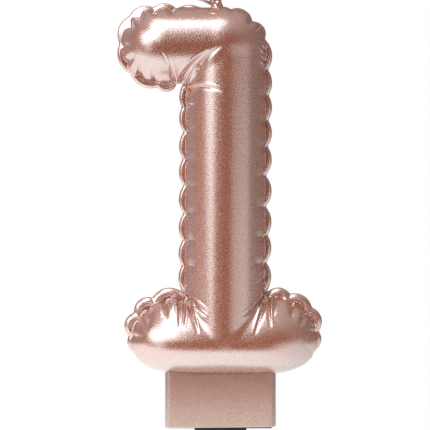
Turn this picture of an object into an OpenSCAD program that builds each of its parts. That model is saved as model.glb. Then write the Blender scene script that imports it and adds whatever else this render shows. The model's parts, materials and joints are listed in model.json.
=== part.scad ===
// Number birthday candle: the figure 1 cast in wax as a foil balloon, on a block, with a wick and a pick.
// Millimetres. +Z is up, -Y is the front. The origin is on the cake's surface, under the middle of the block.

/* [Figure] */
// Radius of the stem's tube
stem_r = 8.6; // [7:0.1:9.5]
// How far the stem stands to the right of the block's middle
stem_x = 1.2; // [0:0.1:2]
// Height of the elbow's centre above the cake
elbow_z = 83.7; // [70:0.1:100]
// Radius of the flag's tube
flag_r = 8.3; // [7:0.1:9]
// Distance from the stem's axis to the flag's blunt end
flag_reach = 22.8; // [18:0.1:26]
// Radius of the foot's tube
foot_r = 8.6; // [8.4:0.1:9.5]
// Height of the foot's axis above the cake
foot_z = 20.3; // [18:0.1:20.5]
// Distance from the stem's axis to the foot's left end
foot_left = 20.2; // [16:0.1:24]
// Distance from the stem's axis to the foot's right end
foot_right = 19.6; // [16:0.1:24]

/* [Seam rim] */
// Thickness of the rim at the seam
rim_t = 1.2; // [0.8:0.1:2]
// How far the crest of a scallop stands out of the tube
rim_crest = 1.6; // [1.0:0.1:2]
// How deep the notch between two scallops is
rim_notch = 0.8; // [0.4:0.1:1.2]

/* [Block] */
// Width of the block at its parting line
block_w = 24.4; // [22:0.1:28]
// Depth of the block, front to back
block_d = 7; // [6:0.1:17]
// Height of the block's top above the cake
block_top = 12; // [11.8:0.1:13]
// How much narrower each front and back corner is than the parting line
block_draft = 0.8; // [0.2:0.1:1.5]

/* [Wick] */
// Radius of the buried wick
core_r = 0.6; // [0.4:0.05:0.8]
// Radius of the lacquered wick outside
tip_r = 1.15; // [0.9:0.05:1.3]
// Length of the wick outside, from its root
tip_l = 8; // [5:0.5:12]
// Lean of the wick's end to the left, in degrees
tip_lean = 16; // [0:1:30]

/* [Cake pick] */
// Width of the blade
blade_w = 11.4; // [8:0.1:14]
// Length of the blade below the flange
blade_l = 32; // [20:0.5:40]
// Thickness of the blade
blade_t = 1.8; // [1.2:0.1:2.4]
// Width of the flange
flange_w = 22.4; // [18:0.1:22.5]
// Depth of the flange, front to back
flange_d = 5; // [4:0.1:5]
// Thickness of the flange
flange_t = 1.2; // [0.8:0.1:1.6]
// Height of the tongue above the flange
tongue_l = 8; // [5:0.5:9]

/* [Hidden] */
$fn = 96;
eps = 0.01;

lacquer = [0.72, 0.50, 0.43];
wax = [0.95, 0.93, 0.88];
plastic = [0.07, 0.07, 0.09];

// Rounding of the tubes' blunt ends
flag_corner = 6;
foot_corner = 7;

// Scallops of the seam rim: straight rows up the stem, and rounder lobes on the ends and bends
scallop_pitch = 5.8;
scallop_r = (pow(scallop_pitch / 2, 2) + pow(rim_notch, 2)) / (2 * rim_notch);
foot_gap = 4;
flag_gap = 2.6;
elbow_lobe_r = 4;
end_lobe_r = 3;
lobe_r = 2.6;
lobe_proud = rim_crest - 0.6;

// The block stands a hair above the cake, on the flange
block_base = 0.3;
recess_gap = 0.15;
tongue_w = 9;
tongue_t = 1.6;
slot_gap = 0.08;
slot_relief = 0.8;

// The wick's root, collar and bend
root_x = -0.8;
collar_r = 1.95;
collar_z = 91.9;
bend = [root_x, 0, 92.95];
ball_r = 0.8;
ball_gap = 0.05;
neck_h = 1.2;
neck_r = 0.7;
core_low = 13;

// Height of the flag's axis, whose tube shares its top with the elbow
flag_mid = elbow_z + stem_r - flag_r;

// Lays what stands along Z on its side, pointing left or right
module to_left() { rotate([0, -90, 0]) children(); }
module to_right() { rotate([0, 90, 0]) children(); }

// A round bar with a blunt, rounded end, from its axis outwards
module blunt_bar(r, l, corner) {
    rotate_extrude() {
        square([r, l - corner]);
        square([r - corner, l]);
        translate([r - corner, l - corner]) intersection() {
            circle(corner);
            square(corner);
        }
    }
}

// The stem, rounded over at the elbow
module stem_tube() {
    translate([stem_x, 0, foot_z]) rotate_extrude() {
        square([stem_r, elbow_z - foot_z]);
        translate([0, elbow_z - foot_z]) intersection() {
            circle(stem_r);
            square(stem_r);
        }
    }
}

module flag_tube() {
    translate([stem_x, 0, flag_mid]) to_left() blunt_bar(flag_r, flag_reach, flag_corner);
}

module foot_tube() {
    translate([stem_x, 0, foot_z]) {
        to_left() blunt_bar(foot_r, foot_left, foot_corner);
        to_right() blunt_bar(foot_r, foot_right, foot_corner);
    }
}

// A straight row of scallops up one side of the stem; side is -1 on the left and 1 on the right
module stem_scallops(side, low, high) {
    count = round((high - low) / scallop_pitch);
    x = stem_x + side * (stem_r + rim_crest - scallop_r);
    for (i = [0:count]) translate([x, low + (high - low) * i / count]) circle(scallop_r);
}

// Lobes round a bend: centre, radius to the crests, first and last angle, how many, and their size
module bend_lobes(centre, r, from, to, count, size) {
    for (i = [0:count - 1]) {
        angle = from + (to - from) * i / (count - 1);
        translate(centre + (r - size) * [cos(angle), sin(angle)]) circle(size);
    }
}

// Lobes along the flag; side is 1 on its top and -1 on its underside
module flag_lobes(side, places) {
    for (x = places) translate([x, flag_mid + side * (flag_r + lobe_proud - lobe_r)]) circle(lobe_r);
}

// Lobes round one end of the foot; side is -1 on the left and 1 on the right
module foot_lobes(side, reach) {
    centre = [stem_x + side * (reach - foot_corner), foot_z];
    crest = foot_corner + rim_crest;
    mirrored = side < 0 ? 180 : 0;
    bend_lobes(centre, crest + 0.3, mirrored - side * 7, mirrored + side * 18, 2, end_lobe_r);
    bend_lobes(centre, crest + 1.3, mirrored + side * 63, mirrored + side * 93, 2, lobe_r);
    bend_lobes(centre, crest - 0.7, mirrored - side * 31, mirrored - side * 50, 2, lobe_r);
}

// The rim in the seam's plane, drawn as X and Z
module rim_outline() {
    flag_end = stem_x - flag_reach + flag_corner;
    low = foot_z + foot_r + foot_gap;
    stem_scallops(-1, low, elbow_z - flag_r - flag_gap);
    stem_scallops(1, low, elbow_z - 2);
    bend_lobes([stem_x, elbow_z], stem_r + lobe_proud, 22, 64, 2, elbow_lobe_r);
    bend_lobes([flag_end, flag_mid], flag_corner + rim_crest - 0.3, 162, 199, 2, end_lobe_r);
    flag_lobes(1, [-17, -12.2, -7]);
    flag_lobes(-1, [-16.7, -12]);
    foot_lobes(-1, foot_left);
    foot_lobes(1, foot_right);
}

module seam_rim() {
    rotate([90, 0, 0]) translate([0, 0, -rim_t / 2]) linear_extrude(rim_t) rim_outline();
}

// The wick's straight route, from the middle of the collar down into the foot
module wick_bar() {
    translate([root_x, 0, core_low]) cylinder(r = core_r, h = collar_z - core_low);
}

module collar_ball() { translate([root_x, 0, collar_z]) sphere(collar_r); }

// The figure 1: stem, flag, foot and seam rim in one casting
module number_body() {
    color(lacquer) difference() {
        union() {
            stem_tube();
            flag_tube();
            foot_tube();
            seam_rim();
        }
        wick_bar();
        collar_ball();
    }
}

// Plan of the block: widest at the parting line, so that it draws out of a two-part mould
module block_plan() {
    half = block_w / 2;
    face = half - block_draft;
    polygon([
        [-half, 0], [-face, -block_d / 2], [face, -block_d / 2],
        [half, 0], [face, block_d / 2], [-face, block_d / 2]
    ]);
}

// The block under the foot, with the pick's slot and the flange's recess
module plinth() {
    color(lacquer) difference() {
        translate([0, 0, block_base]) linear_extrude(block_top - block_base) block_plan();
        foot_tube();
        flange_plate(recess_gap, recess_gap);
        tongue_bar(slot_gap, slot_relief);
    }
}

// The buried wick
module wick_core() {
    color(wax) difference() {
        wick_bar();
        collar_ball();
    }
}

// The bead of wax round the wick's root, with a dish for the bend
module wick_collar() {
    color(lacquer) difference() {
        collar_ball();
        translate(bend) sphere(ball_r + ball_gap);
        translate([root_x, 0, bend[2] + collar_r]) cube(2 * collar_r, center = true);
    }
}

// The wick outside: a ball that bends in the dish, a neck, and the stiff end
module wick_tip() {
    color(lacquer) translate(bend) rotate([0, -tip_lean, 0]) {
        sphere(ball_r);
        cylinder(r = neck_r, h = neck_h + eps);
        translate([0, 0, neck_h]) cylinder(r1 = tip_r, r2 = 0.85 * tip_r, h = tip_l - neck_h);
    }
}

// The flange, and the recess for it when there is a gap
module flange_plate(side_gap, top_gap) {
    w = flange_w + 2 * side_gap;
    d = flange_d + 2 * side_gap;
    translate([-w / 2, -d / 2, 0]) cube([w, d, flange_t + top_gap]);
}

// The tongue inside the block, and the slot for it when there is a gap
module tongue_bar(side_gap, top_gap) {
    w = tongue_w + 2 * side_gap;
    d = tongue_t + 2 * side_gap;
    translate([-w / 2, -d / 2, 0]) cube([w, d, flange_t + tongue_l + top_gap]);
}

// The blade, drawn as X and Z below the flange: straight at first, then tapered to a round point
module blade_outline() {
    half = blade_w / 2;
    tip = 1.5;
    taper_from = blade_l * 0.45;
    polygon([
        [-half, 0], [half, 0], [half, -taper_from],
        [tip, tip - blade_l], [-tip, tip - blade_l], [-half, -taper_from]
    ]);
    translate([0, tip - blade_l]) circle(tip);
}

// The moulded pick: flange, tongue, blade and the blade's rib
module cake_pick() {
    rib_w = 1.6;
    rib_d = blade_t + 2;
    rib_l = blade_l * 0.8;
    color(plastic) union() {
        flange_plate(0, 0);
        tongue_bar(0, 0);
        rotate([90, 0, 0]) translate([0, 0, -blade_t / 2]) linear_extrude(blade_t) blade_outline();
        translate([-rib_w / 2, -rib_d / 2, -rib_l]) cube([rib_w, rib_d, rib_l + eps]);
    }
}

number_body();
plinth();
wick_core();
wick_collar();
wick_tip();
cake_pick();
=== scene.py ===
"""Number birthday candle: a rose-gold 1 cast in wax as a foil balloon, with block, wick and pick."""
import json
import math

import bpy
import numpy as np
import openvdb
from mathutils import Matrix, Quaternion, Vector


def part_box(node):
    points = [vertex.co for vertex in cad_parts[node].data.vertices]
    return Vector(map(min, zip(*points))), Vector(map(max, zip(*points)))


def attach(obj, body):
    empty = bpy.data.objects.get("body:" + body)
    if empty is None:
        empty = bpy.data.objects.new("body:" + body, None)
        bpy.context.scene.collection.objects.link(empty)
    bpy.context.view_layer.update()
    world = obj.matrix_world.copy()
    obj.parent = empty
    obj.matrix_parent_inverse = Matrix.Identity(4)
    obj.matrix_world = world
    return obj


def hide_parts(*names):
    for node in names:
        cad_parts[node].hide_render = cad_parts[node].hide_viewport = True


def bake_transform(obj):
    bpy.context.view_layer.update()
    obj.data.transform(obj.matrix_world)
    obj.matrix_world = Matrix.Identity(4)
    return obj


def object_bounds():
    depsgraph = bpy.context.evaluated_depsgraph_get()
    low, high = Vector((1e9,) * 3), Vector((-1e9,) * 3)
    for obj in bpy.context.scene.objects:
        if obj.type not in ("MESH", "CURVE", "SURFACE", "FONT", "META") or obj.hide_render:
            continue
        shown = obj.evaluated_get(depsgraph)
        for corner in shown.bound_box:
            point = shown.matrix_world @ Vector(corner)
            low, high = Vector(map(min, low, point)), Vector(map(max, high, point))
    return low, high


MM = 0.001
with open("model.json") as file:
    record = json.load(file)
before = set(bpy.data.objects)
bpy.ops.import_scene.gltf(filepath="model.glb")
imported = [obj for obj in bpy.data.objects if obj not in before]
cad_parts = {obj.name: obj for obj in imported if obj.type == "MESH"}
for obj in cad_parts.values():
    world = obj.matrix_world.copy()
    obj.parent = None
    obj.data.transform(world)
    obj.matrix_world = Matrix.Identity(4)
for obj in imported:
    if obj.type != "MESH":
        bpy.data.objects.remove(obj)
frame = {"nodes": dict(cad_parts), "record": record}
cad_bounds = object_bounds()


def box_mm(node):
    """Lowest and highest corners of a CAD node in millimetres."""
    low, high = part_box(node)
    return np.array(low) / MM, np.array(high) / MM


# ---------------------------------------------------------------- sizes, in millimetres
figure_low, figure_high = box_mm("number_body")
block_low, block_high = box_mm("plinth")
pick_low, pick_high = box_mm("cake_pick")
wick_bend = np.array(frame["record"]["behaviour"]["joints"][1]["pos_m"]) / MM
STEM_R = figure_high[1]
STEM_X = 1.2         # the middle of the stem, at its top
STEM_LEAN = 0.3      # how far the stem's foot stands to the left of its top
FOOT_R = STEM_R
FOOT_Z = figure_low[2] + FOOT_R
FOOT_LEFT = -19.7    # the outline's ends, without the rim
FOOT_RIGHT = 21.3
FLAG_END = -21.7
FLAG_R = 8.3
FLAG_DEEP = 1.055    # the flag is a little deeper than it is tall
FLAG_Z = 84.0
FLAG_CAP = 10        # length over which each end of the flag and the foot closes
LEFT_CAP = 16
RIGHT_CAP = 15
ELBOW_Z = FLAG_Z + FLAG_R - STEM_R
HIDDEN_END = 3.5     # how much further the flag runs, inside the elbow

FIELD_STEP = 0.08    # grid of the flat fields that shape the figure
VOXEL = 0.2          # size of the figure's facets
SOFTENING = 4        # passes that round the creases off
CREASE_BLEND = 9.0   # how softly the stem runs into the foot, in square millimetres
ELBOW_BLEND = 16.0   # and the flag into the stem
FOOT_BLEND = 0.1     # and the foot's halves into each other
RIM_BLEND = 0.25     # and the rim into the tubes
SCALLOP_BLEND = 0.3  # the same in millimetres, from scallop to scallop
FOOT_BELLY = 2.2     # how far below its axis the foot is deepest
RIM_EDGE = 0.3       # radius of the rim's outer edge
RIM_THICK = 0.6      # half the rim's thickness there
RIM_SLOPE = 0.6      # slope of the shoulder that rises behind the edge, and of the valley behind it
RIM_CREST = 0.75     # distance from the edge to the shoulder's crest
RIM_VALLEY = 0.8     # and from the crest to the bottom of the widest valley
RIM_BAND = 0.15      # width of the rim where it has no scallop
FOOT_RIM_TOP = 32    # height up to which the rim is the foot's
FLAG_RIM_LOW = 60    # height from which it is the flag's
FLAG_UNDERSIDE = 80  # height up to which that is the flag's underside
FLAG_UPPER_END = 83  # and from which it is the flag's upper end
STEM_CREST = 1.7     # how far the stem's scallops stand out of its tube
STEM_SCALLOP_R = 5.2
PUCKER_REACH = 6.5   # how far a pucker runs from the seam over the tube
STEM_PUCKER = (1.9, 0.35)  # half width and depth of the stem's puckers
BACK_DEPTH = 0.9     # the back's folds are a little shallower than the front's


# ---------------------------------------------------------------- the figure's fields over (x, z)
def soft_max(a, b, k):
    """The larger of two fields, with a rounded corner where they are within k of each other."""
    h = np.clip(k - np.abs(a - b), 0, None) / k
    return np.maximum(a, b) + h * h * k / 4


def soft_min(a, b, k):
    """The smaller of two fields, rounded in the same way."""
    return -soft_max(-a, -b, k)


def tube(x, z, axis_start, axis_end, r, cap_start, cap_end,
         blunt=2.0, sink=0.0, lift=0.0, belly=0.0, deep=1.0):
    """Squared half-depth of a tube between two points; its ends close over the cap lengths.
    A higher blunt squares the outline off, sink thins the end, lift raises its middle, and
    belly moves the deepest place sideways without changing the outline. deep is its depth over
    its height."""
    start, end = np.array(axis_start), np.array(axis_end)
    length = np.linalg.norm(end - start)
    along_x, along_z = (end - start) / length
    t = (x - start[0]) * along_x + (z - start[1]) * along_z
    over = np.clip(np.maximum(-t / cap_start, (t - length) / cap_end), 0, None)
    across = ((x - start[0]) * along_z - (z - start[1] - lift * np.minimum(over, 1) ** 2) * along_x) / r
    across = across - belly / r * np.clip(1 - across ** 2, 0, None)
    body = 1 - across ** 2 - over ** blunt
    flatten = 1 - sink * np.clip(over, 0, 1) ** 2
    return r * r * np.where(body > 0, body * flatten * deep ** 2, body)


def stem_middle(z):
    """Where the middle of the stem is at a height."""
    return STEM_X - STEM_LEAN * (ELBOW_Z - z) / (ELBOW_Z - FOOT_Z)


def tubes(x, z):
    """The balloon without its seam: flag, stem and the foot's two halves, run into each other."""
    flag = tube(x, z, (STEM_X - HIDDEN_END, FLAG_Z), (FLAG_END + FLAG_CAP, FLAG_Z), FLAG_R,
                cap_start=STEM_R + HIDDEN_END, cap_end=FLAG_CAP, blunt=2.8, sink=0.35, deep=FLAG_DEEP)
    stem = tube(x, z, (stem_middle(FOOT_Z), FOOT_Z), (STEM_X, ELBOW_Z), STEM_R,
                cap_start=FOOT_R, cap_end=STEM_R)
    left = tube(x, z, (STEM_X, FOOT_Z), (FOOT_LEFT + LEFT_CAP, FOOT_Z), FOOT_R,
                cap_start=LEFT_CAP, cap_end=LEFT_CAP, blunt=3.7, sink=0.3, lift=0.9, belly=-FOOT_BELLY)
    right = tube(x, z, (STEM_X, FOOT_Z), (FOOT_RIGHT - RIGHT_CAP, FOOT_Z), FOOT_R,
                 cap_start=LEFT_CAP, cap_end=RIGHT_CAP, blunt=3.6, sink=0.3, lift=1.1, belly=FOOT_BELLY)
    upper = soft_max(flag, stem, ELBOW_BLEND)
    foot = soft_max(left, right, FOOT_BLEND)
    return soft_max(upper, foot, CREASE_BLEND)


# Scallops of the rim: crest x, crest z, the way it points in degrees, radius
STEM_LEFT_CRESTS = (72.7, 68.0, 61.9, 56.2, 50.1, 43.9, 38.2, 32.9)
STEM_RIGHT_CRESTS = (81.7, 75.8, 70.4, 64.8, 58.9, 52.0, 45.2, 39.5, 33.1)
CROWN_LOBES = (
    (5.0, 92.1, 66, 3.2), (9.7, 88.0, 31, 2.7), (-6.8, 93.1, 90, 4.4), (-12.3, 93.4, 90, 3.6),
    (-17.9, 92.6, 111, 4.0), (-22.5, 87.9, 161, 4.5), (-22.4, 80.4, 202, 5.0),
    (-17.4, 75.0, 243, 4.8), (-12.0, 73.7, 268, 2.4),
)
FOOT_LOBES = (
    (-12.3, 30.7, 105, 4.4), (-17.9, 28.1, 128, 3.2), (-21.2, 22.8, 172, 3.1), (-20.5, 18.2, 195, 2.6),
    (-16.3, 14.2, 235, 3.9), (12.7, 30.9, 90, 3.2), (18.3, 29.1, 60, 3.9), (22.3, 24.2, 16, 3.4),
    (22.2, 18.7, -15, 2.8), (17.3, 14.5, -58, 7.0),
)


def scallops():
    """Every scallop of the rim: the stem's two rows, then the lobes of the crown and the foot."""
    out = STEM_R + STEM_CREST
    for z in STEM_LEFT_CRESTS:
        yield stem_middle(z) - out, z, 180, STEM_SCALLOP_R
    for z in STEM_RIGHT_CRESTS:
        yield stem_middle(z) + out, z, 0, STEM_SCALLOP_R
    yield from CROWN_LOBES
    yield from FOOT_LOBES


# Puckers, where the foil gathers at the seam: x, z, the way it runs in degrees, half width, depth
STEM_LEFT_NOTCHES = (70.6, 65.3, 58.8, 52.9, 47.2, 41.2, 35.5)
STEM_RIGHT_NOTCHES = (78.6, 73.0, 67.4, 61.8, 55.3, 48.6, 42.0, 36.1)
END_NOTCHES = (
    # round the flag's end and over its top
    (-21.0, 89.0, -35, 1.7, 1.7), (-18.4, 91.4, -60, 1.7, 1.8), (-14.5, 92.3, -85, 1.7, 1.8),
    (-10.7, 92.3, -90, 1.7, 1.7), (-21.8, 83.6, 5, 1.4, 0.7), (-20.9, 79.8, 35, 1.4, 0.8),
    (-17.9, 76.0, 78, 1.5, 0.8), (-14.7, 75.2, 92, 1.4, 0.6),
    # round the elbow
    (2.4, 92.3, -90, 1.6, 0.6), (7.6, 90.0, -133, 1.7, 1.0), (10.2, 85.6, -165, 1.6, 0.5),
    # round the left of the foot
    (-12.1, 28.9, -90, 1.1, 0.45), (-15.8, 28.0, -88, 1.6, 0.6), (-18.8, 25.4, -50, 1.3, 0.35),
    (-19.9, 20.1, 0, 1.4, 0.4), (-18.6, 15.8, 40, 1.3, 0.2),
    # and round its right
    (15.6, 29.0, -90, 1.5, 0.6), (19.8, 26.4, -125, 1.3, 0.4), (21.4, 21.2, 180, 1.3, 0.4),
    (20.0, 16.6, 140, 1.3, 0.2),
)


def notches():
    """Every pucker: the stem's two rows, then those of the ends and bends."""
    for z in STEM_LEFT_NOTCHES:
        yield stem_middle(z) - STEM_R, z, 0, *STEM_PUCKER
    for z in STEM_RIGHT_NOTCHES:
        yield stem_middle(z) + STEM_R, z, 180, *STEM_PUCKER
    yield from END_NOTCHES


# Folds in the foil: start, bend and end as (x, z), then depth, width and the ridge beside it
# (a ridge above zero lies on the left of the way the fold runs, below zero on its right).
FOLDS = (
    # under the wick
    ((-2.1, 91.6), (-1.2, 91.5), (-0.3, 90.9), 0.25, 0.3, -0.3),
    # from the corner under the flag up over the elbow, and across the stem
    ((-8.9, 74.8), (-7.9, 79.0), (-2.4, 82.5), 1.0, 0.5, 0.3),
    ((-7.6, 75.2), (-6.4, 78.4), (-3.8, 80.7), 0.35, 0.25, -0.2),
    ((-5.2, 78.4), (-3.2, 81.4), (0.5, 83.8), 1.1, 0.6, 0),
    ((-8.0, 73.4), (-4.6, 75.9), (0.8, 73.5), 0.7, 0.36, 0.5),
    ((-8.0, 70.6), (-7.0, 70.9), (-5.6, 70.8), 0.3, 0.3, 0.3),
    # on the underside of the flag
    ((-10.2, 75.0), (-10.6, 78.0), (-11.1, 80.6), 0.9, 0.42, -0.4),
    ((-11.5, 79.4), (-12.0, 81.0), (-12.9, 82.4), 0.25, 0.22, -0.25),
    ((-18.0, 76.6), (-18.2, 78.4), (-17.3, 80.4), 0.7, 0.3, 0.2),
    ((-14.8, 75.6), (-14.7, 77.2), (-15.0, 78.6), 0.4, 0.28, 0.2),
    # on the elbow
    ((9.8, 82.9), (9.2, 83.4), (8.2, 84.4), 0.35, 0.3, 0.25),
    ((9.8, 80.4), (9.2, 80.8), (8.4, 81.6), 0.35, 0.3, 0.25),
    ((8.6, 88.2), (8.0, 87.4), (7.3, 86.8), 0.3, 0.3, 0.25),
    # low on the right of the stem
    ((10.0, 36.0), (9.3, 35.2), (8.2, 34.4), 0.35, 0.3, 0.3),
    ((10.2, 33.6), (9.4, 32.6), (7.9, 31.3), 0.35, 0.3, 0.3),
    # where the left of the foot meets the stem
    ((-7.4, 28.9), (-5.2, 27.4), (-2.4, 25.2), 0.7, 0.36, 0.4),
    ((-7.2, 28.6), (-5.4, 26.4), (-2.9, 24.6), 0.3, 0.3, -0.5),
    ((-7.4, 28.6), (-6.2, 25.6), (-4.8, 20.8), 0.9, 0.42, 0.5),
    ((-7.9, 29.2), (-7.9, 25.6), (-8.3, 22.2), 1.0, 0.42, 0.3),
    ((-9.0, 29.2), (-8.9, 26.0), (-8.9, 22.2), 0.8, 0.42, -0.2),
    ((-12.1, 29.0), (-12.0, 26.6), (-11.7, 23.9), 0.6, 0.35, 0),
    ((-10.9, 29.0), (-10.9, 27.4), (-11.0, 26.2), 0.4, 0.3, 0.25),
    ((-15.6, 28.2), (-15.7, 26.0), (-15.4, 23.2), 0.5, 0.4, -0.35),
    ((-18.4, 25.2), (-18.0, 23.6), (-17.4, 21.6), 0.5, 0.35, 0.3),
    # where the right of the foot meets the stem
    ((9.6, 28.8), (7.8, 26.6), (4.8, 24.8), 0.6, 0.38, -0.3),
    ((10.2, 28.4), (8.8, 25.2), (7.3, 20.4), 0.6, 0.4, -0.25),
    ((10.6, 28.6), (10.4, 25.4), (11.0, 22.0), 0.6, 0.34, 0.3),
    ((12.0, 28.4), (11.8, 26.4), (11.6, 24.6), 0.4, 0.3, 0.1),
    ((15.5, 28.6), (15.7, 26.4), (15.5, 24.4), 0.5, 0.36, 0.3),
    ((20.0, 25.4), (19.7, 24.2), (19.1, 22.6), 0.4, 0.32, 0.2),
)
FOLD_STEPS = 24      # straight pieces that a fold's curve is measured by


def curve_point(start, bend, end, t):
    """A point on the curve that a fold follows."""
    return (1 - t) ** 2 * start + 2 * t * (1 - t) * bend + t ** 2 * end


def nearest_on_curve(px, pz, start, bend, end):
    """Each point's distance from a curve, the same with a sign that tells its side, and how far
    along the curve the nearest place is, from 0 to 1."""
    nearest = np.full(px.shape, 1e9)
    side = np.zeros(px.shape)
    place = np.zeros(px.shape)
    for i in range(FOLD_STEPS):
        t0, t1 = i / FOLD_STEPS, (i + 1) / FOLD_STEPS
        a = curve_point(start, bend, end, t0)
        run = curve_point(start, bend, end, t1) - a
        s = np.clip(((px - a[0]) * run[0] + (pz - a[1]) * run[1]) / (run @ run), 0, 1)
        dx, dz = px - a[0] - s * run[0], pz - a[1] - s * run[1]
        distance = np.hypot(dx, dz)
        closer = distance < nearest
        turn = np.sign(run[0] * dz - run[1] * dx)
        nearest = np.where(closer, distance, nearest)
        side = np.where(closer, turn * distance, side)
        place = np.where(closer, t0 + s * (t1 - t0), place)
    return nearest, side, place


def fold_push(x, z, start, bend, end, depth, width, ridge):
    """How far a fold pushes the surface in; it is deepest near its start and dies out at its end."""
    start, bend, end = (np.array(p, float) for p in (start, bend, end))
    reach = 3 * width + 1.5     # beyond this it is too faint to see
    corners = np.stack([start, bend, end])
    low, high = corners.min(0) - reach, corners.max(0) + reach
    near = (x > low[0]) & (x < high[0]) & (z > low[1]) & (z < high[1])
    nearest, side, place = nearest_on_curve(x[near], z[near], start, bend, end)
    # it starts at a third of its depth, soon has all of it, and then dies out
    strength = np.clip(1 - place, 0, 1) ** 0.8 * np.clip(0.35 + 4 * place, 0, 1)
    # it narrows as it goes, and the ridge keeps beside it
    wide = width * (1.15 - 0.5 * place)
    valley = np.exp(-(np.abs(side) / wide) ** 1.3)
    crest_at = np.sign(ridge) * 1.7 * wide
    crest = np.exp(-((side - crest_at) / (0.8 * wide)) ** 2)
    # beyond the curve's ends it is gone within a millimetre
    past_ends = np.exp(-np.clip(nearest - np.abs(side) - 0.02, 0, None) / 0.3)
    push = np.zeros(x.shape)
    push[near] = strength * past_ends * (depth * valley - abs(ridge) * crest)
    return push


def seam_arc(height):
    """Distance from the seam round the tube's section."""
    return STEM_R * np.arcsin(np.clip(np.sqrt(np.clip(height, 0, None)) / STEM_R, 0, 1))


def pucker_push(x, z, height):
    """How far the puckers push the surface in; they die out away from the seam."""
    push = np.zeros(x.shape)
    fade = np.clip(1 - (seam_arc(height) / PUCKER_REACH) ** 2.2, 0, 1)
    for px, pz, heading, half, depth in notches():
        ux, uz = math.cos(math.radians(heading)), math.sin(math.radians(heading))
        along = (x - px) * ux + (z - pz) * uz
        across = np.abs((x - px) * uz - (z - pz) * ux)
        shape = np.clip(1 - across / half, 0, 1) ** 1.8
        own = (along > -2) & (along < PUCKER_REACH)     # not on the tube's other side
        push = np.maximum(push, depth * shape * fade * own)
    return push


def beyond_seam(height):
    """Distance outwards from the tube's outline, below zero inside it."""
    return np.sqrt(np.clip(STEM_R ** 2 - height, 0, None)) - STEM_R


def rim_profile(x, z):
    """The slope of the rim's shoulder, how far it climbs and how far it falls again behind: a deep
    valley round the foot and under the flag, a shallow one up the stem, none on the flag's upper end."""
    # where the rim is the flag's, its underside's, its upper end's and the foot's, from 0 to 1
    left_of_stem = np.clip(STEM_X - STEM_R - 1.1 - x, 0, 1)
    on_flag = left_of_stem * np.clip((z - FLAG_RIM_LOW) / 5, 0, 1)
    under_flag = on_flag * np.clip((FLAG_UNDERSIDE - z) / 3, 0, 1)
    upper_end = on_flag * np.clip((z - FLAG_UPPER_END) / 2, 0, 1)
    round_foot = np.clip((FOOT_RIM_TOP - z) / 2, 0, 1)
    # the flag's upper end has a gentle shoulder that climbs far
    slope = RIM_SLOPE - 0.27 * upper_end
    crest = RIM_CREST + 1.5 * upper_end + 0.3 * round_foot
    valley = RIM_VALLEY * (0.3 + 0.7 * np.maximum(round_foot, under_flag) - 0.3 * upper_end)
    return slope, crest, valley


def rim_height(x, z, puckered):
    """Squared half-thickness of the seam rim; below zero outside its scalloped edge."""
    edge = beyond_seam(puckered) - RIM_BAND
    for cx, cz, heading, r in scallops():
        ux, uz = math.cos(math.radians(heading)), math.sin(math.radians(heading))
        edge = soft_min(edge, np.hypot(x - cx + r * ux, z - cz + r * uz) - r, SCALLOP_BLEND)
    rounded = np.sqrt(np.clip(1 - np.clip(1 + edge / RIM_EDGE, 0, None) ** 2, 0, None))
    slope, crest, valley = rim_profile(x, z)
    rise = np.clip(-edge, 0, crest) - np.clip(-edge - crest, 0, valley)
    thick = RIM_THICK * rounded + slope * rise
    return np.where(edge < 0, thick ** 2, -2 * STEM_R * edge)


def half_depth_squared(x, z, fold_depth):
    """The figure's surface is at y = plus or minus the root of this."""
    height = tubes(x, z)
    puckered = height - 2 * STEM_R * pucker_push(x, z, height)
    creased = puckered
    for fold in FOLDS:
        creased = creased - 2 * STEM_R * fold_depth * fold_push(x, z, *fold)
    return soften(soft_max(creased, rim_height(x, z, puckered), RIM_BLEND))


def soften(field):
    """Rounds creases off to about a tenth of a millimetre, as a poured lacquer does."""
    for _ in range(SOFTENING):
        for axis in (0, 1):
            field = (np.roll(field, 1, axis) + 2 * field + np.roll(field, -1, axis)) / 4
    return field


# ---------------------------------------------------------------- meshes from fields
def sample(field, origin, step, x, z):
    """Bilinear values of a flat field."""
    u, w = (x - origin[0]) / step, (z - origin[1]) / step
    i = np.clip(u.astype(int), 0, field.shape[0] - 2)
    k = np.clip(w.astype(int), 0, field.shape[1] - 2)
    a, b = u - i, w - k
    low = field[i, k] * (1 - a) + field[i + 1, k] * a
    high = field[i, k + 1] * (1 - a) + field[i + 1, k + 1] * a
    return low * (1 - b) + high * b


def new_object(name, points_mm, faces, smooth=True):
    """An object in the scene, from points in millimetres and faces as lists of their numbers."""
    mesh = bpy.data.meshes.new(name)
    mesh.from_pydata((np.asarray(points_mm) * MM).tolist(), [], [tuple(map(int, f)) for f in faces])
    mesh.validate()
    mesh.polygons.foreach_set("use_smooth", [smooth] * len(mesh.polygons))
    mesh.update()
    obj = bpy.data.objects.new(name, mesh)
    bpy.context.scene.collection.objects.link(obj)
    return obj


def flat_fields(low, high):
    """The front's and the back's field over (x, z), each with its slopes."""
    x, z = np.meshgrid(
        np.arange(low[0], high[0], FIELD_STEP), np.arange(low[2], high[2], FIELD_STEP), indexing="ij"
    )
    fields = {}
    for name, fold_depth in (("front", 1.0), ("back", BACK_DEPTH)):
        field = half_depth_squared(x, z, fold_depth)
        fields[name] = (field, *np.gradient(field, FIELD_STEP))
    return fields


def field_values(fields, side, low, x, z):
    """Value, slope along x and slope along z of one side's field."""
    return (sample(field, (low[0], low[2]), FIELD_STEP, x, z) for field in fields[side])


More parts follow.
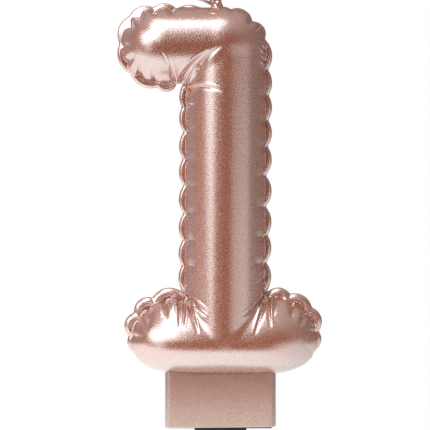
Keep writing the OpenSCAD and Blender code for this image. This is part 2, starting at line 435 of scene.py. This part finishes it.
def rough_shell(fields, low, high):
    """Points and four-sided faces near the surface, from a grid of voxels."""
    xs, ys, zs = (np.arange(low[i], high[i], VOXEL) for i in range(3))
    x, z = np.meshgrid(xs, zs, indexing="ij")
    volume = np.empty((len(xs), len(ys), len(zs)), np.float32)
    for side, rows in (("front", ys < 0), ("back", ys >= 0)):
        value, slope_x, slope_z = field_values(fields, side, low, x, z)
        y = ys[rows][None, :, None]
        steep = np.sqrt(slope_x ** 2 + slope_z ** 2)[:, None, :]
        grade = np.sqrt(steep ** 2 + 4 * y ** 2) + 0.5
        volume[:, rows, :] = (y ** 2 - value[:, None, :]) / grade
    limit = 3 * VOXEL
    level = openvdb.FloatGrid(limit)
    level.copyFromArray(np.clip(volume, -limit, limit))
    points, quads = level.convertToQuads(isovalue=0.0)
    return low + points.astype(float) * VOXEL, quads


def surface(fields, low, points):
    """How far inside the surface each point is, in square millimetres, and the slope there."""
    out = np.empty((len(points), 4))
    for side, rows in (("front", points[:, 1] < 0), ("back", points[:, 1] >= 0)):
        x, y, z = points[rows].T
        value, slope_x, slope_z = field_values(fields, side, low, x, z)
        out[rows] = np.stack([value - y ** 2, slope_x, -2 * y, slope_z], axis=1)
    return out[:, :1], out[:, 1:]


def figure_mesh():
    """The figure's shell, with its points moved onto the exact surface and its exact normals."""
    margin = 1.5
    low = np.array([figure_low[0] - margin, -STEM_R - margin, figure_low[2] - margin])
    high = np.array([figure_high[0] + margin, STEM_R + margin, figure_high[2] + margin])
    fields = flat_fields(low, high)
    points, quads = rough_shell(fields, low, high)
    for _ in range(4):      # a few steps of Newton's method
        inside, slopes = surface(fields, low, points)
        move = -inside * slopes / ((slopes ** 2).sum(1, keepdims=True) + 0.05)
        size = np.linalg.norm(move, axis=1, keepdims=True)
        points = points + move * np.minimum(1, 0.5 * VOXEL / np.maximum(size, 1e-9))
    figure = new_object("figure_shell", points, quads)
    slopes = surface(fields, low, points)[1]
    normals = -slopes / np.maximum(np.linalg.norm(slopes, axis=1, keepdims=True), 1e-9)
    figure.data.normals_split_custom_set_from_vertices(normals.tolist())
    return figure


# ---------------------------------------------------------------- shader nodes
def new_node(nodes, kind, **settings):
    """A node with some of its own settings, such as its operation."""
    node = nodes.new(kind)
    for name, value in settings.items():
        setattr(node, name, value)
    return node


def ramp(nodes, links, source, from_low, from_high, to_low, to_high, shape="LINEAR"):
    """A socket that goes from one value to another as the source does."""
    level = new_node(nodes, "ShaderNodeMapRange", interpolation_type=shape)
    for socket, value in zip(level.inputs[1:5], (from_low, from_high, to_low, to_high)):
        socket.default_value = value
    links.new(source, level.inputs[0])
    return level.outputs[0]


def split_axes(nodes, links, place):
    """X, Y and Z of a position or direction."""
    axes = nodes.new("ShaderNodeSeparateXYZ")
    links.new(place, axes.inputs[0])
    return axes.outputs


def new_material(name):
    """A material with its nodes, links, shader and place on the object."""
    material = bpy.data.materials.new(name)
    material.use_nodes = True
    nodes, links = material.node_tree.nodes, material.node_tree.links
    place = nodes.new("ShaderNodeTexCoord").outputs["Object"]
    return material, nodes, links, nodes["Principled BSDF"], place


def texture(nodes, links, kind, place, **inputs):
    """A texture node over the object, with its inputs set by name."""
    node = nodes.new(kind)
    for name, value in inputs.items():
        node.inputs[name].default_value = value
    links.new(place, node.inputs["Vector"])
    return node


def two_tones(nodes, links, source, tones):
    """A colour that goes from one tone to another with the source."""
    tone = nodes.new("ShaderNodeValToRGB")
    for element, colour in zip(tone.color_ramp.elements, tones):
        element.color = (*colour, 1)
    links.new(source, tone.inputs["Fac"])
    return tone.outputs["Color"]


def roughen(nodes, links, shader, source, smoothest, roughest):
    """Makes the surface rougher where the source is higher."""
    links.new(ramp(nodes, links, source, 0, 1, smoothest, roughest), shader.inputs["Roughness"])


def emboss(nodes, links, shader, source, strength, height):
    """Raises the surface where the source is higher; the height is in metres."""
    bump = nodes.new("ShaderNodeBump")
    bump.inputs["Strength"].default_value = strength
    bump.inputs["Distance"].default_value = height
    links.new(source, bump.inputs["Height"])
    links.new(bump.outputs[0], shader.inputs["Normal"])


# ---------------------------------------------------------------- camera, light and floor
CAMERA_X = -1.2           # where the camera stands, in millimetres
CAMERA_Z = 46.75
CAMERA_DISTANCE = 620.0
VIEW_WIDTH = 94.6         # how much of the seam's plane it sees
LIGHTS_AIM = 0.05         # height that the lights are aimed at, in metres like their sizes


def make_camera():
    """A camera straight in front of the candle, as far off as the photo's looks to be."""
    data = bpy.data.cameras.new("camera")
    data.sensor_width = 36
    data.lens = data.sensor_width * CAMERA_DISTANCE / VIEW_WIDTH
    data.clip_start = 0.01
    data.clip_end = 20
    camera = bpy.data.objects.new("camera", data)
    bpy.context.scene.collection.objects.link(camera)
    camera.location = (CAMERA_X * MM, -CAMERA_DISTANCE * MM, CAMERA_Z * MM)
    camera.rotation_euler = (math.radians(90), 0, 0)
    bpy.context.scene.camera = camera


def panel_light(name, azimuth, elevation, distance, width, height, glow, roll=0):
    """A softbox aimed at the candle. Azimuth 0 is at the camera, and -90 is on its left; glow is
    the brightness of the softbox's face, where 1 is white."""
    data = bpy.data.lights.new(name, "AREA")
    data.shape = "RECTANGLE"
    data.size = width
    data.size_y = height
    data.energy = glow * math.pi * width * height
    lamp = bpy.data.objects.new(name, data)
    bpy.context.scene.collection.objects.link(lamp)
    a, e = math.radians(azimuth), math.radians(elevation)
    aim = Vector((math.sin(a) * math.cos(e), -math.cos(a) * math.cos(e), math.sin(e)))
    lamp.location = Vector((0, 0, LIGHTS_AIM)) + aim * distance
    lamp.rotation_mode = "QUATERNION"
    lamp.rotation_quaternion = aim.to_track_quat("Z", "Y") @ Quaternion((0, 0, 1), math.radians(roll))
    lamp.visible_camera = False


def make_lights():
    """Three big softboxes and a strip, each placed by where its highlight falls."""
    panel_light("top_light", azimuth=-24, elevation=60, distance=0.75, width=0.30, height=0.58, glow=4.2)
    panel_light("left_light", azimuth=-39.5, elevation=25, distance=0.9, width=0.80, height=0.48, glow=3.4,
                roll=21)
    panel_light("left_strip", azimuth=-40, elevation=-2, distance=0.9, width=0.15, height=0.4, glow=2.0)
    panel_light("right_light", azimuth=46, elevation=-14, distance=1.0, width=1.05, height=0.56, glow=0.9)


def make_world():
    """White to the camera; to the candle a dim studio: dark behind the camera, lighter
    overhead, and bluish behind on the left."""
    world = bpy.data.worlds.new("studio")
    bpy.context.scene.world = world
    world.use_nodes = True
    nodes, links = world.node_tree.nodes, world.node_tree.links
    nodes.clear()
    direction = nodes.new("ShaderNodeTexCoord").outputs["Generated"]
    axes = split_axes(nodes, links, direction)
    total = new_node(nodes, "ShaderNodeMath", operation="ADD")
    round_about = ramp(nodes, links, axes["Y"], -0.95, -0.55, 0.0, 0.205, "SMOOTHSTEP")
    overhead = ramp(nodes, links, axes["Z"], 0.45, 0.95, 0.0, 0.32, "SMOOTHSTEP")
    links.new(round_about, total.inputs[0])
    links.new(overhead, total.inputs[1])
    left = ramp(nodes, links, axes["X"], -0.05, -0.35, 0.0, 1.0, "SMOOTHSTEP")
    behind = ramp(nodes, links, axes["Y"], 0.2, 0.6, 0.0, 1.0, "SMOOTHSTEP")
    behind_left = new_node(nodes, "ShaderNodeMath", operation="MULTIPLY")
    links.new(left, behind_left.inputs[0])
    links.new(behind, behind_left.inputs[1])
    tint = new_node(nodes, "ShaderNodeMix", data_type="RGBA")
    tint.inputs["A"].default_value = (1, 0.98, 0.97, 1)
    tint.inputs["B"].default_value = (0.6, 1.6, 2.3, 1)
    links.new(behind_left.outputs[0], tint.inputs["Factor"])
    fill = nodes.new("ShaderNodeBackground")
    links.new(tint.outputs["Result"], fill.inputs["Color"])
    links.new(total.outputs[0], fill.inputs["Strength"])
    seen = nodes.new("ShaderNodeBackground")
    seen.inputs["Color"].default_value = (1, 1, 1, 1)
    path = nodes.new("ShaderNodeLightPath")
    mix = nodes.new("ShaderNodeMixShader")
    out = nodes.new("ShaderNodeOutputWorld")
    links.new(path.outputs["Is Camera Ray"], mix.inputs["Fac"])
    links.new(fill.outputs[0], mix.inputs[1])
    links.new(seen.outputs[0], mix.inputs[2])
    links.new(mix.outputs[0], out.inputs["Surface"])


def floor_material():
    """White paper that glows, less on the right: its glow is painted light, and its dimming towards the
    right a painted shade.
    """
    material, nodes, links, shader, place = new_material("floor_white")
    shader.inputs["Base Color"].default_value = (0.9, 0.9, 0.9, 1)
    shader.inputs["Roughness"].default_value = 0.8
    shader.inputs["Emission Color"].default_value = (1, 1, 1, 1)
    axes = split_axes(nodes, links, place)
    # painted light: the floor's glow, dimming from left to right as a painted shade
    links.new(ramp(nodes, links, axes["X"], -0.01, 0.06, 0.87, 0.47), shader.inputs["Emission Strength"])
    return material


def make_floor():
    """A plain sheet just under the pick's point, from a little in front of it to far behind."""
    under = cad_bounds[0].z / MM - 0.5
    front, back, side = -150, 380, 500
    corners = [(-side, front), (side, front), (side, back), (-side, back)]
    floor = new_object("floor", [(x, y, under) for x, y in corners], [(0, 1, 2, 3)], smooth=False)
    floor.data.materials.append(floor_material())


# ---------------------------------------------------------------- materials
def lacquer_material(name, roughest, grain, ior, tones, painted_light_tone, painted_light_from, painted_light_to, flakes, speckle):
    """Rose-gold paint full of fine flakes, under a thin clear coat. Its colour is painted paler from
    one height, in millimetres, down to another: painted light from the floor below. flakes is how
    many there are to a metre, and speckle how far they stand out in tone."""
    material, nodes, links, shader, place = new_material(name)
    flake = texture(nodes, links, "ShaderNodeTexVoronoi", place, Scale=flakes)
    cloud = texture(nodes, links, "ShaderNodeTexNoise", place, Scale=260, Detail=4)
    spread = new_node(nodes, "ShaderNodeMath", operation="MULTIPLY_ADD")
    spread.inputs[1].default_value = 0.3
    links.new(flake.outputs["Color"], spread.inputs[0])
    links.new(cloud.outputs["Fac"], spread.inputs[2])
    height = split_axes(nodes, links, place)["Z"]
    # painted light: lower down, the colour is mixed towards a paler tone that stands in for light from the
    # floor
    painted_light_mask = ramp(nodes, links, height, painted_light_from * MM, painted_light_to * MM, 0, 1, "SMOOTHSTEP")
    fade = new_node(nodes, "ShaderNodeMix", data_type="RGBA")
    fade.inputs["B"].default_value = (*painted_light_tone, 1)
    links.new(painted_light_mask, fade.inputs["Factor"])
    links.new(two_tones(nodes, links, spread.outputs[0], tones), fade.inputs["A"])
    stand_out = ramp(nodes, links, flake.outputs["Color"], 0, 1, 1 - speckle, 1 + speckle)
    speckled = new_node(nodes, "ShaderNodeVectorMath", operation="SCALE")
    links.new(fade.outputs["Result"], speckled.inputs[0])
    links.new(stand_out, speckled.inputs["Scale"])
    links.new(speckled.outputs[0], shader.inputs["Base Color"])
    roughen(nodes, links, shader, flake.outputs["Color"], 0.6 * roughest, roughest)
    emboss(nodes, links, shader, flake.outputs["Distance"], grain, 0.00006)
    shader.inputs["Metallic"].default_value = 0.0
    shader.inputs["IOR"].default_value = ior
    shader.inputs["Coat Weight"].default_value = 0.3
    shader.inputs["Coat Roughness"].default_value = 0.2
    return material


def cotton_material():
    """Undyed cotton, ribbed by its threads."""
    material, nodes, links, shader, place = new_material("wick_cotton")
    thread = texture(nodes, links, "ShaderNodeTexWave", place, Scale=900, Distortion=2)
    tones = ((0.70, 0.64, 0.52), (0.88, 0.84, 0.75))
    links.new(two_tones(nodes, links, thread.outputs["Fac"], tones), shader.inputs["Base Color"])
    shader.inputs["Roughness"].default_value = 0.85
    return material


def plastic_material():
    """Navy-black moulded plastic with a fine grain and a few scuffs."""
    material, nodes, links, shader, place = new_material("black_plastic")
    grain = texture(nodes, links, "ShaderNodeTexNoise", place, Scale=2600, Detail=3).outputs["Fac"]
    scuff = texture(nodes, links, "ShaderNodeTexNoise", place, Scale=140, Detail=6).outputs["Fac"]
    tones = ((0.006, 0.007, 0.012), (0.016, 0.018, 0.026))
    links.new(two_tones(nodes, links, scuff, tones), shader.inputs["Base Color"])
    roughen(nodes, links, shader, scuff, 0.34, 0.56)
    emboss(nodes, links, shader, grain, 0.25, 0.00004)
    return material


# ---------------------------------------------------------------- block, wick and collar
BLOCK_BEVEL = 0.32
BLOCK_DRAFT = 0.8       # how much narrower the front and back are than the parting line
BLOCK_TILT = 0.011      # the block's underside falls a little to the left
BLOCK_UNDER = 0.12      # how far its underside hangs below the CAD's
BLOCK_OVER = 0.2        # how far its top runs into the foot
BLOCK_HORNS = 0.45      # and how much further at its left and right ends
BLOCK_STEPS = 24        # faces along the front, so that its top can bend up towards its ends
FLANGE_THICK = 1.2      # the pick's flange
TONGUE = np.array([4.5, 0.8])   # half width and half depth of the pick's tongue
RECESS_GAP = 0.15       # room round the flange and above it
SLOT_GAP = 0.08         # room round the tongue
SLOT_RELIEF = 0.8       # and above it
BELOW = -1.0            # where both cuts start, under the block


def round_edges(obj, width, segments, least_angle):
    """Rounds the edges that turn by at least the angle in degrees."""
    bevel = obj.modifiers.new("rounding", "BEVEL")
    bevel.width = width * MM
    bevel.segments = segments
    bevel.limit_method = "ANGLE"
    bevel.angle_limit = math.radians(least_angle)


def block_mesh():
    """The drafted block, whose top follows the foot, with the pick's recess and slot below."""
    half, deep = block_high[0], block_high[1]
    face = half - BLOCK_DRAFT
    along = np.linspace(-face, face, BLOCK_STEPS + 1)
    plan = [(-half, 0)] + [(x, -deep) for x in along] + [(half, 0)] + [(x, deep) for x in along[::-1]]
    count = len(plan)
    points = [(x, y, block_low[2] - BLOCK_UNDER + BLOCK_TILT * x) for x, y in plan]
    points += [(x, y, block_high[2] + BLOCK_OVER + BLOCK_HORNS * abs(x / face) ** 3) for x, y in plan]
    faces = [(i, (i + 1) % count, count + (i + 1) % count, count + i) for i in range(count)]
    # strips across the block, from front to back, close its underside and its top
    for i in range(count // 2):
        after, before, far = i + 1, count - 1 - i, (count - i) % count
        strip = [i, after] + ([before] if before != after else []) + ([far] if far != i else [])
        faces.append(tuple(reversed(strip)))
        faces.append(tuple(count + k for k in strip))
    block = new_object("block_cast", points, faces)
    round_edges(block, BLOCK_BEVEL, 4, 20)
    tools = [cutter(low, high) for low, high in pick_hollows()]
    for tool in tools:
        cut = block.modifiers.new("cut", "BOOLEAN")
        cut.object = tool
        cut.solver = "EXACT"
    bake_modifiers(block)
    for tool in tools:
        bpy.data.objects.remove(tool)
    return block


def pick_hollows():
    """The flange's recess and the tongue's slot, as (low corner, high corner)."""
    flange = pick_high[:2] + RECESS_GAP
    tongue = TONGUE + SLOT_GAP
    return (
        ((-flange[0], -flange[1], BELOW), (flange[0], flange[1], FLANGE_THICK + RECESS_GAP)),
        ((-tongue[0], -tongue[1], BELOW), (tongue[0], tongue[1], pick_high[2] + SLOT_RELIEF)),
    )


def cutter(low, high):
    """A box between two corners."""
    corners = [(x, y, z) for x in (low[0], high[0]) for y in (low[1], high[1]) for z in (low[2], high[2])]
    sides = [(0, 1, 3, 2), (4, 6, 7, 5), (0, 4, 5, 1), (2, 3, 7, 6), (0, 2, 6, 4), (1, 5, 7, 3)]
    return new_object("cutter", corners, sides, smooth=False)


def bake_modifiers(obj):
    """Replaces the object's mesh with what its modifiers make of it."""
    graph = bpy.context.evaluated_depsgraph_get()
    mesh = bpy.data.meshes.new_from_object(obj.evaluated_get(graph))
    obj.modifiers.clear()
    obj.data = mesh
    mesh.set_sharp_from_angle(angle=math.radians(35))


WICK_LEAN = math.radians(16)
LEAN_FROM = -1.4        # where the lean starts, up the wick from its bend
LEAN_LENGTH = 2.4       # and how long it takes to grow
WICK_START = -1.2       # the braid's two ends, up from the bend
WICK_END = 8.0
PLY_R = 0.66
BRAID_PITCH = 4.4
BRAID_WIDE = 0.66       # how far the strands swing out to the sides
BRAID_DEEP = 0.36       # and to the front and back
FRAY_FROM = WICK_END - 1.2      # where the strands start to spread, in the end by half
FRAY = 0.5
TAPER_FROM = WICK_END - 0.8     # where they start to thin, in the end by a third
TAPER = 0.35
THREAD_REACH = 3.9      # how far the loose thread runs to the left
THREAD_R = 0.42         # its radius at the braid
THREAD_END_R = 0.24     # and at its end


def wick_centre(s):
    """A point on the wick's middle, s millimetres above its bend, and its sideways direction."""
    turn = WICK_LEAN * np.clip((s - LEAN_FROM) / LEAN_LENGTH, 0, 1)
    x = wick_bend[0] - math.sin(turn) * s
    z = wick_bend[2] + math.cos(turn) * s
    return np.array([x, 0.0, z]), np.array([math.cos(turn), 0.0, math.sin(turn)])


def ring_faces(rings, sides):
    """The faces between rings of points that follow one another."""
    faces = []
    for i in range(rings - 1):
        for k in range(sides):
            n = (k + 1) % sides
            faces.append((i * sides + k, i * sides + n, (i + 1) * sides + n, (i + 1) * sides + k))
    return faces


def sweep(path, radii, sides, twist, lobes, lobe_depth):
    """A closed tube along a path; lobes twist round it like the threads of a ply."""
    path = np.asarray(path, float)
    tangents = np.gradient(path, axis=0)
    tangents /= np.linalg.norm(tangents, axis=1, keepdims=True)
    points = []
    side = np.cross(tangents[0], (0.0, 1.0, 0.0))
    for i, (centre, tangent, r) in enumerate(zip(path, tangents, radii)):
        side = side - tangent * (side @ tangent)
        side /= np.linalg.norm(side)
        up = np.cross(tangent, side)
        for k in range(sides):
            a = 2 * math.pi * k / sides
            bulge = r * (1 + lobe_depth * math.cos(lobes * a + twist * i))
            points.append(centre + bulge * (math.cos(a) * side + math.sin(a) * up))
    rings = len(path)
    faces = ring_faces(rings, sides)
    first, last = len(points), len(points) + 1
    points += [path[0], path[-1]]
    for k in range(sides):
        n = (k + 1) % sides
        faces.append((first, n, k))
        faces.append((last, (rings - 1) * sides + k, (rings - 1) * sides + n))
    return points, faces


def joined(name, parts):
    """One object from several parts, each a list of points and a list of faces."""
    points, faces = [], []
    for part_points, part_faces in parts:
        base = len(points)
        points += list(part_points)
        faces += [tuple(base + i for i in f) for f in part_faces]
    return new_object(name, points, faces)


def ply(phase):
    """One of the three strands of the braid."""
    path, radii = [], []
    for s in np.linspace(WICK_START, WICK_END, 70):
        centre, sideways = wick_centre(s)
        turn = 2 * math.pi * s / BRAID_PITCH + phase
        fray = 1 + FRAY * max(0.0, (s - FRAY_FROM) / (WICK_END - FRAY_FROM))
        offset = sideways * BRAID_WIDE * fray * math.sin(turn)
        offset = offset + np.array([0, BRAID_DEEP * fray * math.sin(2 * turn), 0])
        path.append(centre + offset)
        radii.append(PLY_R * (1 - TAPER * max(0.0, (s - TAPER_FROM) / (WICK_END - TAPER_FROM))))
    return sweep(path, radii, sides=20, twist=0.55, lobes=5, lobe_depth=0.07)


def loose_thread():
    """A thread of the braid that stands off to the left."""
    path, radii = [], []
    for t in np.linspace(0, 1, 28):
        x = wick_bend[0] - 0.5 - THREAD_REACH * t
        z = wick_bend[2] - 0.25 + 2.5 * t - 0.9 * t * t
        path.append((x, -0.5 - 0.3 * math.sin(math.pi * t), z))
        radii.append(THREAD_R + (THREAD_END_R - THREAD_R) * t)
    return sweep(path, radii, sides=12, twist=0.5, lobes=3, lobe_depth=0.08)


COLLAR_LOW = 1.65       # how far below the bend the collar starts, inside the figure
COLLAR_TALL = 1.75
COLLAR_TOP_R = 1.25
COLLAR_SPREAD = 1.35    # how much wider it is at its lower edge


def collar_mesh():
    """The wax that climbs the wick's root, a little uneven all round."""
    rings, sides = 16, 48
    bend_x, bend_z = wick_bend[0], wick_bend[2]
    points = []
    for t in np.linspace(0, 1, rings):
        r = COLLAR_TOP_R + COLLAR_SPREAD * (1 - t) ** 1.9
        for k in range(sides):
            a = 2 * math.pi * k / sides
            uneven = r * (1 + 0.06 * math.sin(3 * a + 1.3) + 0.04 * math.sin(5 * a + 4 * t))
            z = bend_z - COLLAR_LOW + COLLAR_TALL * t + 0.08 * math.sin(2 * a)
            points.append((bend_x + uneven * math.cos(a), uneven * math.sin(a), z))
    faces = ring_faces(rings, sides)
    faces.append(tuple(reversed(range(sides))))
    top = (rings - 1) * sides
    middle = len(points)
    points.append((bend_x, 0, bend_z + 0.05))
    faces += [(top + k, top + (k + 1) % sides, middle) for k in range(sides)]
    return new_object("collar_wax", points, faces)


# ---------------------------------------------------------------- the assembly
PICK_ROUNDING = 0.18


def dress(obj, material, slot, *cad_nodes):
    """Gives a piece its material and hides the CAD nodes that it stands for. slot is not used."""
    obj.data.materials.append(material)
    if cad_nodes:
        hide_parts(*cad_nodes)


make_camera()
make_lights()
make_world()
make_floor()
# the figure's colour is painted paler on the foot's underside, below 17.5 mm: a painted reflection of the
# white floor
lacquer = lacquer_material(
    "rose_gold_lacquer", roughest=0.32, grain=0.25, ior=4.0,
    tones=((0.345, 0.103, 0.052), (0.440, 0.142, 0.076)),
    painted_light_tone=(0.36, 0.19, 0.135), painted_light_from=17.5, painted_light_to=14, flakes=5200, speckle=0.1,
)
# the block's tones are darker and its top darker than its bottom: painted shade under the foot's overhang;
# its paler bottom is painted light from the floor
matt_lacquer_painted_shade = lacquer_material(
    "rose_gold_lacquer_matt_painted_shade", roughest=0.55, grain=0.5, ior=2.6,
    tones=((0.28, 0.097, 0.051), (0.36, 0.137, 0.072)),
    painted_light_tone=(0.43, 0.24, 0.176), painted_light_from=12, painted_light_to=2, flakes=4200, speckle=0.27,
)

figure = figure_mesh()
dress(figure, lacquer, "lacquered_wax", "number_body")
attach(figure, "candle")

block = block_mesh()
dress(block, matt_lacquer_painted_shade, "lacquered_wax", "plinth")
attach(block, "candle")

collar = collar_mesh()
dress(collar, lacquer, "lacquered_wax", "wick_collar")
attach(collar, "candle")

braid = joined("wick_braid", [ply(2 * math.pi * i / 3) for i in range(3)])
dress(braid, lacquer, "lacquered_wick", "wick_tip")
thread = joined("wick_thread", [loose_thread()])
dress(thread, lacquer, "lacquered_wick")
for piece in (braid, thread):
    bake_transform(piece)

for node, node_material in (("wick_core", cotton_material()), ("cake_pick", plastic_material())):
    obj = frame["nodes"][node]
    obj.data.materials.clear()
    obj.data.materials.append(node_material)

pick = frame["nodes"]["cake_pick"]
weld = pick.modifiers.new("weld", "WELD")
weld.merge_threshold = 0.01 * MM
round_edges(pick, PICK_ROUNDING, 3, 40)

bpy.context.scene.view_settings.view_transform = "Standard"
